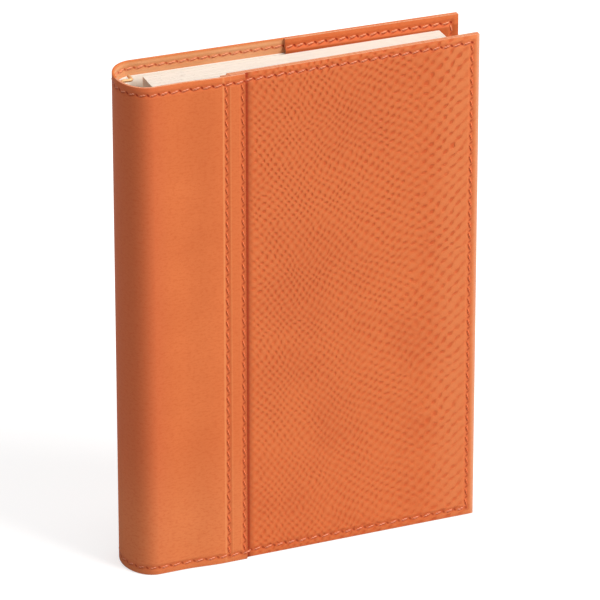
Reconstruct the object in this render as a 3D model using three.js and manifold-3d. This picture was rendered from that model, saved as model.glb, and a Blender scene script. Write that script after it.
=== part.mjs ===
// A weekly planner: a coil-bound block of leaves with a white card cover, slipped into a sewn
// orange jacket. It stands on its bottom edge with the spine at -X and the front cover at -Y.
// Millimetres, +Z up, origin under the middle of the whole outline.

import * as THREE from 'three';
import { mergeVertices } from 'three/addons/utils/BufferGeometryUtils.js';
import Module from 'manifold-3d';

const wasm = await Module();
wasm.setup();

// Jacket, measured closed
const JACKET_WIDTH = 110;
const JACKET_HEIGHT = 158;
const SPINE_THICKNESS = 21.4;
const FORE_EDGE_THICKNESS = 17.6;
const SPINE_DEPTH = 8.3;
const LEATHER = 0.8;

// Seam lines of the jacket, measured from the spine's outermost line
const PANEL_EDGE = 28.7;
const FRONT_FLAP_EDGE = 31;
const WRAP_EDGE = 36;
const BACK_FLAP_EDGE = 55.7;
const LAP_SLOPE = 1;

// Creases where the covers fold away from the spine
const CREASE_TURN = 50;
const CREASE_GAP = 0.4;

// Clearances
const FIT = 0.2;
const BLOCK_PLAY = 0.4;
const COIL_PLAY = 0.3;
const HOLE_PLAY = 0.4;
const LAP_FIT = 0.1;

// Thread
const SEAM_MARGIN = 2.6;
const SEAM_ROW_INSET = 1;
const STITCH_PITCH = 3.4;
const STITCH_SHARE = 0.75;
const STITCH_RISE = 0.4;
const THREAD = 0.5;
const THREAD_GAP = 0.2;
const THREAD_SIDES = 4;

// Block of leaves and its card cover
const CARD = 0.4;
const CARD_PLAY = 1.2;
const LEAF_HEIGHT = 151;
const LEAF_MARGIN = 6;
const BUNDLES_PER_SIDE = 4;
const BUNDLE_GAP = 0.1;
const BINDING_MARGIN = 3.3;

// Coil
const WIRE = 1.1;
const PITCH = 6.35;
const COIL_LAND = 2.5;
const COIL_STEPS = 8;
const WIRE_SIDES = 5;
const COIL_END_TURN = 157.5;
const COIL_END_IN = 3.6;
const COIL_END_HOOK = 3;

// How far a cover folds out from the spine, and each bundle's share of that turn, outermost first
const COVER_TURN = 90;
const BUNDLE_SHARES = [0.97, 0.93, 0.88, 0.82];

const CURVE_STEPS = 8;
const FULL_TURN = 360;
const HALF_DEGREE = 0.5;
const FRONT = -1;
const BACK = 1;

// Swept tubes: how near upright a start may run, and the sharpest bend (as a cosine) that is widened fully
const UPRIGHT_SHARE = 0.9;
const BEND_SHARE = 0.7;

// Corners closer than this are one corner
const WELD = 1e-5;

const radians = THREE.MathUtils.degToRad;
const degrees = THREE.MathUtils.radToDeg;

// Sizes that follow from the ones above
const HALF_SPINE = SPINE_THICKNESS / 2;
const TILT = Math.atan2((SPINE_THICKNESS - FORE_EDGE_THICKNESS) / 2, JACKET_WIDTH - SPINE_DEPTH);
const CARD_OUTER = LEATHER + FIT;
const CARD_INNER = CARD_OUTER + CARD;
const FLAP_OUTER = CARD_INNER + FIT;
const FLAP_INNER = FLAP_OUTER + LEATHER;
const LAP_INNER = -LAP_FIT;
const LAP_OUTER = LAP_INNER - LEATHER;
const THREAD_LIFT = THREAD_GAP + THREAD / 2;
const LOW_ROW = SEAM_MARGIN;
const HIGH_ROW = JACKET_HEIGHT - SEAM_MARGIN;
const RIM = SEAM_MARGIN + THREAD / 2 + FIT;
const BLOCK_BOTTOM = RIM + FIT;
const BLOCK_TOP = BLOCK_BOTTOM + LEAF_HEIGHT;
const COVER_END = alongAt(JACKET_WIDTH);
const CARD_END = alongAt(JACKET_WIDTH - RIM - CARD_PLAY);

const COIL_OUTER = HALF_SPINE - CARD_INNER - COIL_PLAY;
const COIL_RADIUS = COIL_OUTER - WIRE / 2;
const COIL_FLAT = COIL_RADIUS * Math.cos(Math.PI / COIL_STEPS) - WIRE / 2;
const COIL_X = CARD_INNER + COIL_PLAY + COIL_OUTER;

const LEAF_END = JACKET_WIDTH - LEAF_MARGIN;
const HALF_STACK = -coverPoint(FRONT, alongAt(LEAF_END), FLAP_INNER).y - BLOCK_PLAY;
const BUNDLE = (2 * HALF_STACK - (2 * BUNDLES_PER_SIDE - 1) * BUNDLE_GAP) / (2 * BUNDLES_PER_SIDE);
const HOLE_NEAR = Math.sqrt(COIL_FLAT ** 2 - HALF_STACK ** 2) - HOLE_PLAY;
const HOLE_FAR = COIL_OUTER + HOLE_PLAY;
const LEAF_START = COIL_X + HOLE_NEAR - BINDING_MARGIN;
const COIL_TURNS = Math.floor((LEAF_HEIGHT - 2 * (PITCH + COIL_LAND)) / PITCH);
const COIL_MIDDLE = (BLOCK_BOTTOM + BLOCK_TOP) / 2;

const leatherPlain = { color: 0xd9733f, roughness: 0.62, metalness: 0 };
const leatherEmbossed = { color: 0xd66b3a, roughness: 0.6, metalness: 0 };
const threadFinish = { color: 0xd9674c, roughness: 0.7, metalness: 0 };
const cardFinish = { color: 0xf7f0e4, roughness: 0.7, metalness: 0 };
const leafFinish = { color: 0xfaf2e6, roughness: 0.85, metalness: 0 };
const wireFinish = { color: 0xd9ad62, roughness: 0.35, metalness: 0.8 };

// A distance from the spine's outermost line, turned into a distance along a cover from its crease.
function alongAt(x) {
  return (x - SPINE_DEPTH) / Math.cos(TILT);
}

// A point on the spine's round, turned -90 at the front and 90 at the back, at a depth inwards.
function spinePoint(turn, depth) {
  const angle = radians(turn);
  const inward = new THREE.Vector2(Math.cos(angle) / SPINE_DEPTH, -Math.sin(angle) / HALF_SPINE);
  const x = SPINE_DEPTH * (1 - Math.cos(angle));
  const y = HALF_SPINE * Math.sin(angle);
  return new THREE.Vector2(x, y).addScaledVector(inward.normalize(), depth);
}

// A point on a cover's flat part, along from its crease and at a depth inwards from its outer face.
function coverPoint(side, along, depth) {
  const x = SPINE_DEPTH + along * Math.cos(TILT) - depth * Math.sin(TILT);
  const y = side * (HALF_SPINE - along * Math.sin(TILT) - depth * Math.cos(TILT));
  return new THREE.Vector2(x, y);
}

function spineCurve(from, to, depth) {
  const points = [];
  for (let i = 0; i <= CURVE_STEPS; i += 1) {
    points.push(spinePoint(from + (to - from) * i / CURVE_STEPS, depth));
  }
  return points;
}

// How many degrees of the spine's round half a crease gap takes.
function creaseShare() {
  const before = spinePoint(CREASE_TURN - HALF_DEGREE, 0);
  const after = spinePoint(CREASE_TURN + HALF_DEGREE, 0);
  return CREASE_GAP / 2 / before.distanceTo(after);
}

function extrudeUp(points, bottom, top) {
  const shape = new THREE.Shape(points);
  const geometry = new THREE.ExtrudeGeometry(shape, { depth: top - bottom, bevelEnabled: false });
  geometry.translate(0, 0, bottom);
  return geometry;
}

// A flat piece of a cover between two distances along it, two depths and two heights.
function coverSlab(side, from, to, outer, inner, bottom, top) {
  const corners = [
    coverPoint(side, from, outer),
    coverPoint(side, to, outer),
    coverPoint(side, to, inner),
    coverPoint(side, from, inner),
  ];
  return extrudeUp(corners, bottom, top);
}

function toSolid(geometry) {
  const bare = geometry.clone();
  bare.deleteAttribute('normal');
  bare.deleteAttribute('uv');
  const merged = mergeVertices(bare, WELD);
  const vertProperties = new Float32Array(merged.attributes.position.array);
  const triVerts = new Uint32Array(merged.index.array);
  return new wasm.Manifold(new wasm.Mesh({ numProp: 3, vertProperties, triVerts }));
}

function fromSolid(solid) {
  const mesh = solid.getMesh();
  const geometry = new THREE.BufferGeometry();
  geometry.setAttribute('position', new THREE.BufferAttribute(new Float32Array(mesh.vertProperties), 3));
  geometry.setIndex(new THREE.BufferAttribute(new Uint32Array(mesh.triVerts), 1));
  geometry.computeVertexNormals();
  return geometry;
}

function join(geometries) {
  return fromSolid(geometries.map(toSolid).reduce((whole, next) => whole.add(next)));
}

// The smooth leather from one crease to the other.
function wrapSpine() {
  const reach = CREASE_TURN - creaseShare();
  const outline = [...spineCurve(-reach, reach, 0), ...spineCurve(reach, -reach, LEATHER)];
  return extrudeUp(outline, 0, JACKET_HEIGHT);
}

// The smooth leather on the front, which steps out over the embossed panel's edge and laps it.
function wrapFront() {
  const start = -CREASE_TURN - creaseShare();
  const panel = alongAt(PANEL_EDGE);
  const outline = [
    ...spineCurve(start, -90, 0),
    coverPoint(FRONT, panel - FIT - LAP_SLOPE, 0),
    coverPoint(FRONT, panel - FIT, LAP_OUTER),
    coverPoint(FRONT, alongAt(WRAP_EDGE), LAP_OUTER),
    coverPoint(FRONT, alongAt(WRAP_EDGE), LAP_INNER),
    coverPoint(FRONT, panel - FIT, LAP_INNER),
    coverPoint(FRONT, panel - FIT, LEATHER),
    ...spineCurve(-90, start, LEATHER),
  ];
  return extrudeUp(outline, 0, JACKET_HEIGHT);
}

// The smooth leather runs on over the whole back.
function wrapBack() {
  const start = CREASE_TURN + creaseShare();
  const outline = [
    ...spineCurve(start, 90, 0),
    coverPoint(BACK, COVER_END, 0),
    coverPoint(BACK, COVER_END, LEATHER),
    ...spineCurve(90, start, LEATHER),
  ];
  return extrudeUp(outline, 0, JACKET_HEIGHT);
}

function frontPanel() {
  return coverSlab(FRONT, alongAt(PANEL_EDGE), COVER_END, 0, LEATHER, 0, JACKET_HEIGHT);
}

// An inner flap: a sheet with a thick rim on three sides, where it is sewn to the cover.
function flap(side, edge) {
  const from = alongAt(edge);
  const seat = (FLAP_OUTER + FLAP_INNER) / 2;
  return join([
    coverSlab(side, from, COVER_END, FLAP_OUTER, FLAP_INNER, 0, JACKET_HEIGHT),
    coverSlab(side, from, COVER_END, CARD_OUTER, seat, 0, RIM),
    coverSlab(side, from, COVER_END, CARD_OUTER, seat, JACKET_HEIGHT - RIM, JACKET_HEIGHT),
    coverSlab(side, COVER_END - RIM, COVER_END, CARD_OUTER, seat, 0, JACKET_HEIGHT),
  ]);
}

function cardSpine() {
  const reach = CREASE_TURN - creaseShare();
  const outline = [...spineCurve(-reach, reach, CARD_OUTER), ...spineCurve(reach, -reach, CARD_INNER)];
  return extrudeUp(outline, BLOCK_BOTTOM, BLOCK_TOP);
}

function cardBoard(side) {
  const start = side * (CREASE_TURN + creaseShare());
  const outline = [
    ...spineCurve(start, side * 90, CARD_OUTER),
    coverPoint(side, CARD_END, CARD_OUTER),
    coverPoint(side, CARD_END, CARD_INNER),
    ...spineCurve(side * 90, start, CARD_INNER),
  ];
  return extrudeUp(outline, BLOCK_BOTTOM, BLOCK_TOP);
}

// The coil's height where it has turned by an angle from +X, counted on past full turns.
function coilHeight(turn) {
  return COIL_MIDDLE + PITCH * (turn / FULL_TURN - COIL_TURNS / 2);
}

// A bundle of leaves with a row of punched holes, as tall as the coil's climb through them needs.
function bundle(side, place) {
  const inner = place * (BUNDLE + BUNDLE_GAP) + BUNDLE_GAP / 2;
  const outer = inner + BUNDLE;
  const share = BUNDLE_SHARES[BUNDLES_PER_SIDE - 1 - place];
  const lowTurn = degrees(Math.asin(inner / COIL_RADIUS));
  const highTurn = degrees(Math.asin(outer / COIL_RADIUS)) + share * COVER_TURN;
  const holeHalf = PITCH * (highTurn - lowTurn) / (2 * FULL_TURN) + WIRE / 2 + HOLE_PLAY;

  const shape = new THREE.Shape();
  shape.moveTo(LEAF_START, BLOCK_BOTTOM);
  shape.lineTo(LEAF_END, BLOCK_BOTTOM);
  shape.lineTo(LEAF_END, BLOCK_TOP);
  shape.lineTo(LEAF_START, BLOCK_TOP);
  shape.closePath();
  for (let i = 0; i <= COIL_TURNS; i += 1) {
    const middle = coilHeight(FULL_TURN * i + side * (lowTurn + highTurn) / 2);
    const hole = new THREE.Path();
    hole.moveTo(COIL_X + HOLE_NEAR, middle - holeHalf);
    hole.lineTo(COIL_X + HOLE_NEAR, middle + holeHalf);
    hole.lineTo(COIL_X + HOLE_FAR, middle + holeHalf);
    hole.lineTo(COIL_X + HOLE_FAR, middle - holeHalf);
    hole.closePath();
    shape.holes.push(hole);
  }
  const geometry = new THREE.ExtrudeGeometry(shape, { depth: BUNDLE, bevelEnabled: false });
  geometry.rotateX(Math.PI / 2);
  geometry.translate(0, side === BACK ? outer : -inner, 0);
  return geometry;
}

function coilPoint(turn, height) {
  const angle = radians(turn);
  const x = COIL_X + COIL_RADIUS * Math.cos(angle);
  const y = COIL_RADIUS * Math.sin(angle);
  return new THREE.Vector3(x, y, height);
}

// The coil's middle line. Past the last holes each end turns up or down and hooks inwards.
function coilRoute() {
  const lastTurn = FULL_TURN * COIL_TURNS + COIL_END_TURN;
  const step = FULL_TURN / COIL_STEPS;
  const turns = [];
  for (let turn = -COIL_END_TURN; turn <= lastTurn; turn += step) {
    turns.push(turn);
  }
  const route = turns.map((turn) => coilPoint(turn, coilHeight(turn)));
  const clear = WIRE / 2 + COIL_PLAY;
  const top = hook(route[route.length - 1], BLOCK_TOP + clear, 1);
  const bottom = hook(route[0], BLOCK_BOTTOM - clear, -1);
  return [...bottom.reverse(), ...route, ...top];
}

// The bent end of the coil: up past the leaves' edge, in across them and then along them.
function hook(from, height, side) {
  const riser = new THREE.Vector3(from.x + WIRE / 4, from.y, height);
  const inner = new THREE.Vector3(from.x + COIL_END_IN, from.y - side * WIRE / 4, height);
  const tip = new THREE.Vector3(inner.x, inner.y + side * COIL_END_HOOK, height);
  return [riser, inner, tip];
}

// A tube of flat sides swept along a route, closed at both ends.
function sweep(route, radius, sides) {
  const positions = [];
  const index = [];
  const start = route[1].clone().sub(route[0]).normalize();
  const frame = Math.abs(start.z) > UPRIGHT_SHARE ? new THREE.Vector3(0, 1, 0) : new THREE.Vector3(0, 0, 1);
  route.forEach((point, i) => {
    const before = route[Math.max(i - 1, 0)];
    const after = route[Math.min(i + 1, route.length - 1)];
    const ahead = after.clone().sub(point).normalize();
    const behind = point.clone().sub(before).normalize();
    const tangent = ahead.clone().add(behind).normalize();
    const widen = 1 / Math.max(tangent.dot(i === 0 ? ahead : behind), BEND_SHARE);
    frame.addScaledVector(tangent, -frame.dot(tangent)).normalize();
    const across = new THREE.Vector3().crossVectors(tangent, frame);
    for (let k = 0; k < sides; k += 1) {
      const angle = 2 * Math.PI * k / sides;
      const corner = point.clone();
      corner.addScaledVector(frame, radius * Math.sin(angle));
      corner.addScaledVector(across, -radius * widen * Math.cos(angle));
      positions.push(corner.x, corner.y, corner.z);
    }
  });
  for (let i = 0; i < route.length - 1; i += 1) {
    for (let k = 0; k < sides; k += 1) {
      const a = i * sides + k;
      const b = i * sides + (k + 1) % sides;
      index.push(a, b, a + sides, b, b + sides, a + sides);
    }
  }
  const last = (route.length - 1) * sides;
  for (let k = 1; k < sides - 1; k += 1) {
    index.push(0, k + 1, k);
    index.push(last, last + k, last + k + 1);
  }
  const geometry = new THREE.BufferGeometry();
  geometry.setAttribute('position', new THREE.Float32BufferAttribute(positions, 3));
  geometry.setIndex(index);
  return geometry;
}

// The least distance between the coil's curls, less one wire, measured on its route's points.
function leastGap(route) {
  let least = Infinity;
  for (let i = 0; i < route.length; i += 1) {
    for (let k = i + COIL_STEPS - 2; k < route.length; k += 1) {
      least = Math.min(least, route[i].distanceTo(route[k]));
    }
  }
  return least - WIRE;
}

// How far out the leather reaches near a distance along a cover, counting the front's lap.
function surfaceDepth(side, along) {
  const lapStart = alongAt(PANEL_EDGE) - FIT - LAP_SLOPE;
  const nearLap = along > lapStart - STITCH_PITCH && along < alongAt(WRAP_EDGE) + STITCH_PITCH;
  return side === FRONT && nearLap ? LAP_OUTER : 0;
}

function coverThreadPoint(side, along, height) {
  const point = coverPoint(side, along, surfaceDepth(side, along) - THREAD_LIFT);
  return new THREE.Vector3(point.x, point.y, height);
}

function spineThreadPoint(turn, height) {
  const point = spinePoint(turn, -THREAD_LIFT);
  return new THREE.Vector3(point.x, point.y, height);
}

// Both ends of each stitch in a row between two places. Each stitch starts low and ends high.
function stitchEnds(from, to, rise) {
  const count = Math.max(1, Math.round(Math.abs(to - from) / STITCH_PITCH));
  const step = (to - from) / count;
  const half = step * STITCH_SHARE / 2;
  const ends = [];
  for (let i = 0; i < count; i += 1) {
    const middle = from + step * (i + 0.5);
    ends.push({ at: middle - half, rise: -rise }, { at: middle + half, rise });
  }
  return ends;
}

// The length of the spine's round between two turns.
function curveLength(from, to) {
  const points = spineCurve(from, to, 0);
  return points.slice(1).reduce((sum, point, i) => sum + point.distanceTo(points[i]), 0);
}

function curveStitches(from, to, height) {
  const length = curveLength(from, to);
  const turnAt = (at) => from + (to - from) * at / length;
  return stitchEnds(0, length, STITCH_RISE).map((end) => spineThreadPoint(turnAt(end.at), height + end.rise));
}

function edgeStitches(side, height) {
  const ends = stitchEnds(0, COVER_END - SEAM_MARGIN, STITCH_RISE);
  return ends.map((end) => coverThreadPoint(side, end.at, height + end.rise));
}

function uprightStitches(side, along) {
  const ends = stitchEnds(LOW_ROW, HIGH_ROW, 0);
  return ends.map((end) => coverThreadPoint(side, along, end.at));
}

function thread(points) {
  return sweep(points, THREAD / 2, THREAD_SIDES);
}

// The row that runs from the crease round a cover's three open edges and back to the crease.
function rimThread(side) {
  const crease = side * (CREASE_TURN + creaseShare());
  const low = [...curveStitches(crease, side * 90, LOW_ROW), ...edgeStitches(side, LOW_ROW)];
  const high = [...curveStitches(crease, side * 90, HIGH_ROW), ...edgeStitches(side, HIGH_ROW)];
  return thread([...low, ...uprightStitches(side, COVER_END - SEAM_MARGIN), ...high.reverse()]);
}

// A straight row down the lap, between the rows along the top and bottom edges.
function seamThread(x) {
  return thread(uprightStitches(FRONT, alongAt(x)).slice(1, -1));
}

function spineThread(height) {
  const reach = CREASE_TURN - creaseShare();
  return thread(curveStitches(-reach, reach, height));
}

const model = new THREE.Group();

function addPiece(name, geometry, finish) {
  const piece = new THREE.Mesh(geometry, new THREE.MeshStandardMaterial(finish));
  piece.name = name;
  model.add(piece);
}

addPiece('wrap_spine', wrapSpine(), leatherPlain);
addPiece('wrap_front', wrapFront(), leatherPlain);
addPiece('wrap_back', wrapBack(), leatherPlain);
addPiece('front_panel', frontPanel(), leatherEmbossed);
addPiece('front_flap', flap(FRONT, FRONT_FLAP_EDGE), leatherPlain);
addPiece('back_flap', flap(BACK, BACK_FLAP_EDGE), leatherPlain);

addPiece('thread_front_rim', rimThread(FRONT), threadFinish);
addPiece('thread_back_rim', rimThread(BACK), threadFinish);
addPiece('thread_seam_inner', seamThread(PANEL_EDGE + SEAM_ROW_INSET), threadFinish);
addPiece('thread_seam_outer', seamThread(WRAP_EDGE - SEAM_ROW_INSET), threadFinish);
addPiece('thread_spine_bottom', spineThread(LOW_ROW), threadFinish);
addPiece('thread_spine_top', spineThread(HIGH_ROW), threadFinish);

addPiece('card_spine', cardSpine(), cardFinish);
addPiece('card_front', cardBoard(FRONT), cardFinish);
addPiece('card_back', cardBoard(BACK), cardFinish);

for (let place = 0; place < BUNDLES_PER_SIDE; place += 1) {
  addPiece(`leaves_front_${place + 1}`, bundle(FRONT, BUNDLES_PER_SIDE - 1 - place), leafFinish);
  addPiece(`leaves_back_${place + 1}`, bundle(BACK, place), leafFinish);
}

const route = coilRoute();
addPiece('coil', sweep(route, WIRE / 2, WIRE_SIDES), wireFinish);
console.log(`least gap between the coil's curls: ${leastGap(route).toFixed(2)} mm`);

// The outline's middle goes over the origin.
const outline = new THREE.Box3().setFromObject(model);
model.position.x = -(outline.min.x + outline.max.x) / 2;
model.position.y = -(outline.min.y + outline.max.y) / 2;

export default model;
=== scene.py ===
import math
import random

import bmesh
import bpy
from mathutils import Matrix, Vector


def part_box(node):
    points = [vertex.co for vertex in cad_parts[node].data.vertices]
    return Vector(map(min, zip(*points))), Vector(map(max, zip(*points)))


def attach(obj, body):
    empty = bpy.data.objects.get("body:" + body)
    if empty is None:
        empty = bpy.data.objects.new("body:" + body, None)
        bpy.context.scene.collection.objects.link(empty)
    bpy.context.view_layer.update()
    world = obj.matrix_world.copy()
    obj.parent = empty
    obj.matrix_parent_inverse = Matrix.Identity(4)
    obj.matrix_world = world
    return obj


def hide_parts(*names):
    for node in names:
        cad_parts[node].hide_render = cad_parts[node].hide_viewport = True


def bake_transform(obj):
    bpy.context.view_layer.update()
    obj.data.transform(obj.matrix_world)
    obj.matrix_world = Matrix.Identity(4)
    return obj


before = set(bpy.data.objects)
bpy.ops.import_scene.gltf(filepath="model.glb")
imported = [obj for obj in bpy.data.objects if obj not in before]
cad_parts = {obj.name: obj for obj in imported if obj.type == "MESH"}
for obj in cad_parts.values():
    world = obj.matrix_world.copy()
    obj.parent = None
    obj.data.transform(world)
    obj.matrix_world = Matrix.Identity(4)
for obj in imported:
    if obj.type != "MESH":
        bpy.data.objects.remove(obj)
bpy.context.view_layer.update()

# Sizes of the planner in millimetres, as in the part's source
MM = 0.001
JACKET_WIDTH = 110
JACKET_HEIGHT = 158
HALF_SPINE = 10.7
SPINE_DEPTH = 8.3
TILT = math.atan2(1.9, JACKET_WIDTH - SPINE_DEPTH)
LEATHER = 0.8
PANEL_EDGE = 28.7
FRONT_POCKET_EDGE = 31
WRAP_EDGE = 36
BACK_POCKET_EDGE = 55.7
LAP_LIFT = 0.9
LAP_RISE_START = 16
CARD_DEPTH = 1
CARD = 0.4
POCKET_DEPTH = 1.6
POCKET_SHEET = 0.8
SEWN_DEPTH = 0.88
BLOCK_BOTTOM = 3.25
BLOCK_TOP = 154.25
CARD_TOP = 153.5
CARD_END_X = 105.75
EDGE_ROW = 2.35
FRONT = -1
BACK = 1

# Stitches
UPRIGHT_STITCHES = 43
TOP_STITCHES = 35
BOTTOM_STITCHES = 31
STITCH_LENGTH = 2.7
STITCH_TURN = 16
THREAD = 0.5
THREAD_SINK = 0.08
ROUND_SINK = 0.22
INNER_SEAM_X = 30.1
OUTER_SEAM_X = 35.1

# Coil and leaves
COIL_X = 10.7
COIL_RADIUS = 8.45
WIRE = 1.1
COIL_PITCH = 6.35
COIL_TURNS = 20
COIL_MIDDLE = 78.75
HOOK_START = 157.5
HOOK_IN = 3.6
HOOK_TIP = 3

SPINE_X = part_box("wrap_spine")[0].x
MIDDLE_Y = sum(corner.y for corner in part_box("wrap_spine")) / 2


def place(x, y, z):
    """A point in the frame, from the spine's outermost line and the planner's middle."""
    return Vector((SPINE_X + x * MM, MIDDLE_Y + y * MM, z * MM))


# Outline of the planner seen from above

def ground(point):
    return place(point.x, point.y, 0)


def spine_point(turn, depth=0):
    """A place on the spine's round, by degrees from the outermost line."""
    angle = math.radians(turn)
    inward = Vector((math.cos(angle) / SPINE_DEPTH, -math.sin(angle) / HALF_SPINE)).normalized()
    surface = Vector((SPINE_DEPTH * (1 - math.cos(angle)), HALF_SPINE * math.sin(angle)))
    return surface + inward * depth


def cover_point(side, x, depth=0):
    along = (x - SPINE_DEPTH) / math.cos(TILT)
    return Vector((
        SPINE_DEPTH + along * math.cos(TILT) - depth * math.sin(TILT),
        side * (HALF_SPINE - along * math.sin(TILT) - depth * math.cos(TILT)),
    ))


def cover_directions(side):
    """Unit vectors of a cover: away from the spine, and outwards."""
    along = Vector((math.cos(TILT), -side * math.sin(TILT), 0))
    outward = Vector((math.sin(TILT), side * math.cos(TILT), 0))
    return along, outward


def spine_travel(turn, steps=60):
    """Distance along the leather from the outermost line to a place on the spine's round."""
    points = [spine_point(turn * i / steps) for i in range(steps + 1)]
    return sum((b - a).length for a, b in zip(points, points[1:]))


QUARTER = spine_travel(90, 400)


def travel_at(x):
    """Distance along the leather from the spine's outermost line to a place on a cover."""
    return QUARTER + (x - SPINE_DEPTH) / math.cos(TILT)


EDGE_TRAVEL = travel_at(JACKET_WIDTH)
FORE_ROW = EDGE_TRAVEL - EDGE_ROW
BOTTOM_ROW = EDGE_ROW
TOP_ROW = JACKET_HEIGHT - EDGE_ROW
VERTICAL_PITCH = (TOP_ROW - BOTTOM_ROW) / UPRIGHT_STITCHES
LEVEL_PITCHES = ((BOTTOM_ROW, FORE_ROW / BOTTOM_STITCHES), (TOP_ROW, FORE_ROW / TOP_STITCHES))


def turn_at(travel):
    """The spine's turn at a distance along the leather."""
    low, high = 0, 90
    for _ in range(30):
        middle = (low + high) / 2
        low, high = (middle, high) if spine_travel(middle) < travel else (low, middle)
    return (low + high) / 2


# Small helpers for modelling

def deselect():
    if bpy.context.object and bpy.context.object.mode != "OBJECT":
        bpy.ops.object.mode_set(mode="OBJECT")
    bpy.ops.object.select_all(action="DESELECT")


def take(piece):
    deselect()
    bpy.context.view_layer.objects.active = piece
    piece.select_set(True)


def edit(piece, kind="VERT"):
    take(piece)
    bpy.ops.object.mode_set(mode="EDIT")
    bpy.ops.mesh.select_mode(type=kind)


def done():
    bpy.ops.object.mode_set(mode="OBJECT")


def pick_all():
    bpy.ops.mesh.select_all(action="SELECT")


def pick(piece, kind, wanted):
    """Picks what a rule wants. The rule gets a vertex's place, or the edge or face itself."""
    mesh = bmesh.from_edit_mesh(piece.data)
    if kind == "edges":
        for face in mesh.faces:
            face.select = False
    for part in getattr(mesh, kind):
        part.select = wanted(part.co if kind == "verts" else part)
    if kind != "edges":
        mesh.select_flush_mode()
    bmesh.update_edit_mesh(piece.data)


def settle(piece):
    take(piece)
    bpy.ops.object.transform_apply(location=True, rotation=True, scale=True)


def newest(name):
    """Names the object just made."""
    made = bpy.context.object
    made.name = name
    return made


def own_map(piece, name):
    layer = piece.data.uv_layers[0] if piece.data.uv_layers else piece.data.uv_layers.new()
    layer.name = name
    return layer.data


def solidify(piece, thickness, offset, **settings):
    """Gives a sheet its thickness, in metres."""
    wall = piece.modifiers.new("wall", "SOLIDIFY")
    wall.thickness = thickness
    wall.offset = offset
    for key, value in settings.items():
        setattr(wall, key, value)
    take(piece)
    bpy.ops.object.modifier_apply(modifier=wall.name)


def join(pieces, name):
    take(pieces[0])
    for piece in pieces:
        piece.select_set(True)
    bpy.ops.object.join()
    whole = newest(name)
    settle(whole)
    return whole


def smooth(piece, degrees=50):
    take(piece)
    bpy.ops.object.shade_smooth_by_angle(angle=math.radians(degrees))


# Sheets drawn along the outline

# Degrees between two points of the spine's round
SPINE_STEP = 3


def upright_sheet(name, outline, bottom, top, heights):
    """A standing sheet along an outline of (point, travel), with a level edge at each height."""
    half = (top - bottom) / 2 * MM
    bpy.ops.mesh.primitive_plane_add(
        size=2 * half, rotation=(math.pi / 2, 0, 0), location=(0, 0, (bottom + top) / 2 * MM))
    sheet = newest(name)
    settle(sheet)
    edit(sheet)
    for end, (point, _) in zip((-half, half), outline):
        target = ground(point)
        pick(sheet, "verts", lambda co: abs(co.x - end) < 1e-6)
        bpy.ops.transform.translate(value=(target.x - end, target.y, 0))
    last = ground(outline[1][0])
    pick(sheet, "verts", lambda co: (co.xy - last.xy).length < 1e-7)
    bpy.ops.mesh.select_mode(type="EDGE")
    for point, _ in outline[2:]:
        target = ground(point)
        step = target - last
        bpy.ops.mesh.extrude_region_move(TRANSFORM_OT_translate={"value": (step.x, step.y, 0)})
        last = target
    for height in heights:
        pick_all()
        bpy.ops.mesh.bisect(plane_co=(0, 0, height * MM), plane_no=(0, 0, 1))
    pick_all()
    done()
    lay_out(sheet, outline)
    return sheet


def lay_out(sheet, outline):
    """Keeps each point's travel and height as the sheet's own map, in metres."""
    corners = [(ground(point).xy, travel * MM) for point, travel in outline]
    nearest = [min(corners, key=lambda corner: (corner[0] - vertex.co.xy).length)[1]
               for vertex in sheet.data.vertices]
    layer = own_map(sheet, "travel_and_height")
    for loop in sheet.data.loops:
        layer[loop.index].uv = (nearest[loop.vertex_index], sheet.data.vertices[loop.vertex_index].co.z)


def face_towards(sheet, outward):
    """Turns the sheet so that its normals point to one side."""
    middle = sheet.data.polygons[len(sheet.data.polygons) // 2]
    if middle.normal.dot(outward) < 0:
        edit(sheet, "FACE")
        pick_all()
        bpy.ops.mesh.flip_normals()
        done()


def thicken(sheet, thickness, finishes, rounding, keep_sharp=lambda co: False):
    """Gives a sheet its thickness inwards, and the finishes of its outer face, inner face and cut edge."""
    for finish in finishes:
        sheet.data.materials.append(finish)
    solidify(sheet, thickness * MM, -1, use_even_offset=True, material_offset=1, material_offset_rim=2)
    edit(sheet, "EDGE")

    def is_corner(edge):
        sharp = len(edge.link_faces) == 2 and edge.calc_face_angle(0) >= math.radians(60)
        return sharp and not all(keep_sharp(vertex.co) for vertex in edge.verts)

    pick(sheet, "edges", is_corner)
    bpy.ops.mesh.bevel(offset=rounding * MM, segments=2, affect="EDGES", clamp_overlap=True)
    done()
    smooth(sheet)


def levels(step, bottom=0, top=JACKET_HEIGHT):
    count = round((top - bottom) / step)
    return [bottom + (top - bottom) * i / count for i in range(1, count)]


def spine_outline(side, depth=0):
    """From the spine's outermost line round to where a cover's flat part begins."""
    return [(spine_point(side * turn, depth), spine_travel(turn)) for turn in range(0, 91, SPINE_STEP)]


def cover_outline(side, places, step=4):
    """Places along a cover as (x, depth), with points between them at most a step apart."""
    line = []
    for (x, depth), (next_x, next_depth) in zip(places, places[1:]):
        count = max(1, math.ceil((next_x - x) / step))
        shares = [i / count for i in range(count)]
        line += [(x + (next_x - x) * share, depth + (next_depth - depth) * share) for share in shares]
    return [(cover_point(side, x, depth), travel_at(x)) for x, depth in line + [places[-1]]]


def eased(share):
    share = min(1, max(0, share))
    return share * share * (3 - 2 * share)


# Materials

def sum_sign(operation, turned=False):
    return lambda self, other=0: self.nodes.math(operation, *((other, self) if turned else (self, other)))


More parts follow.
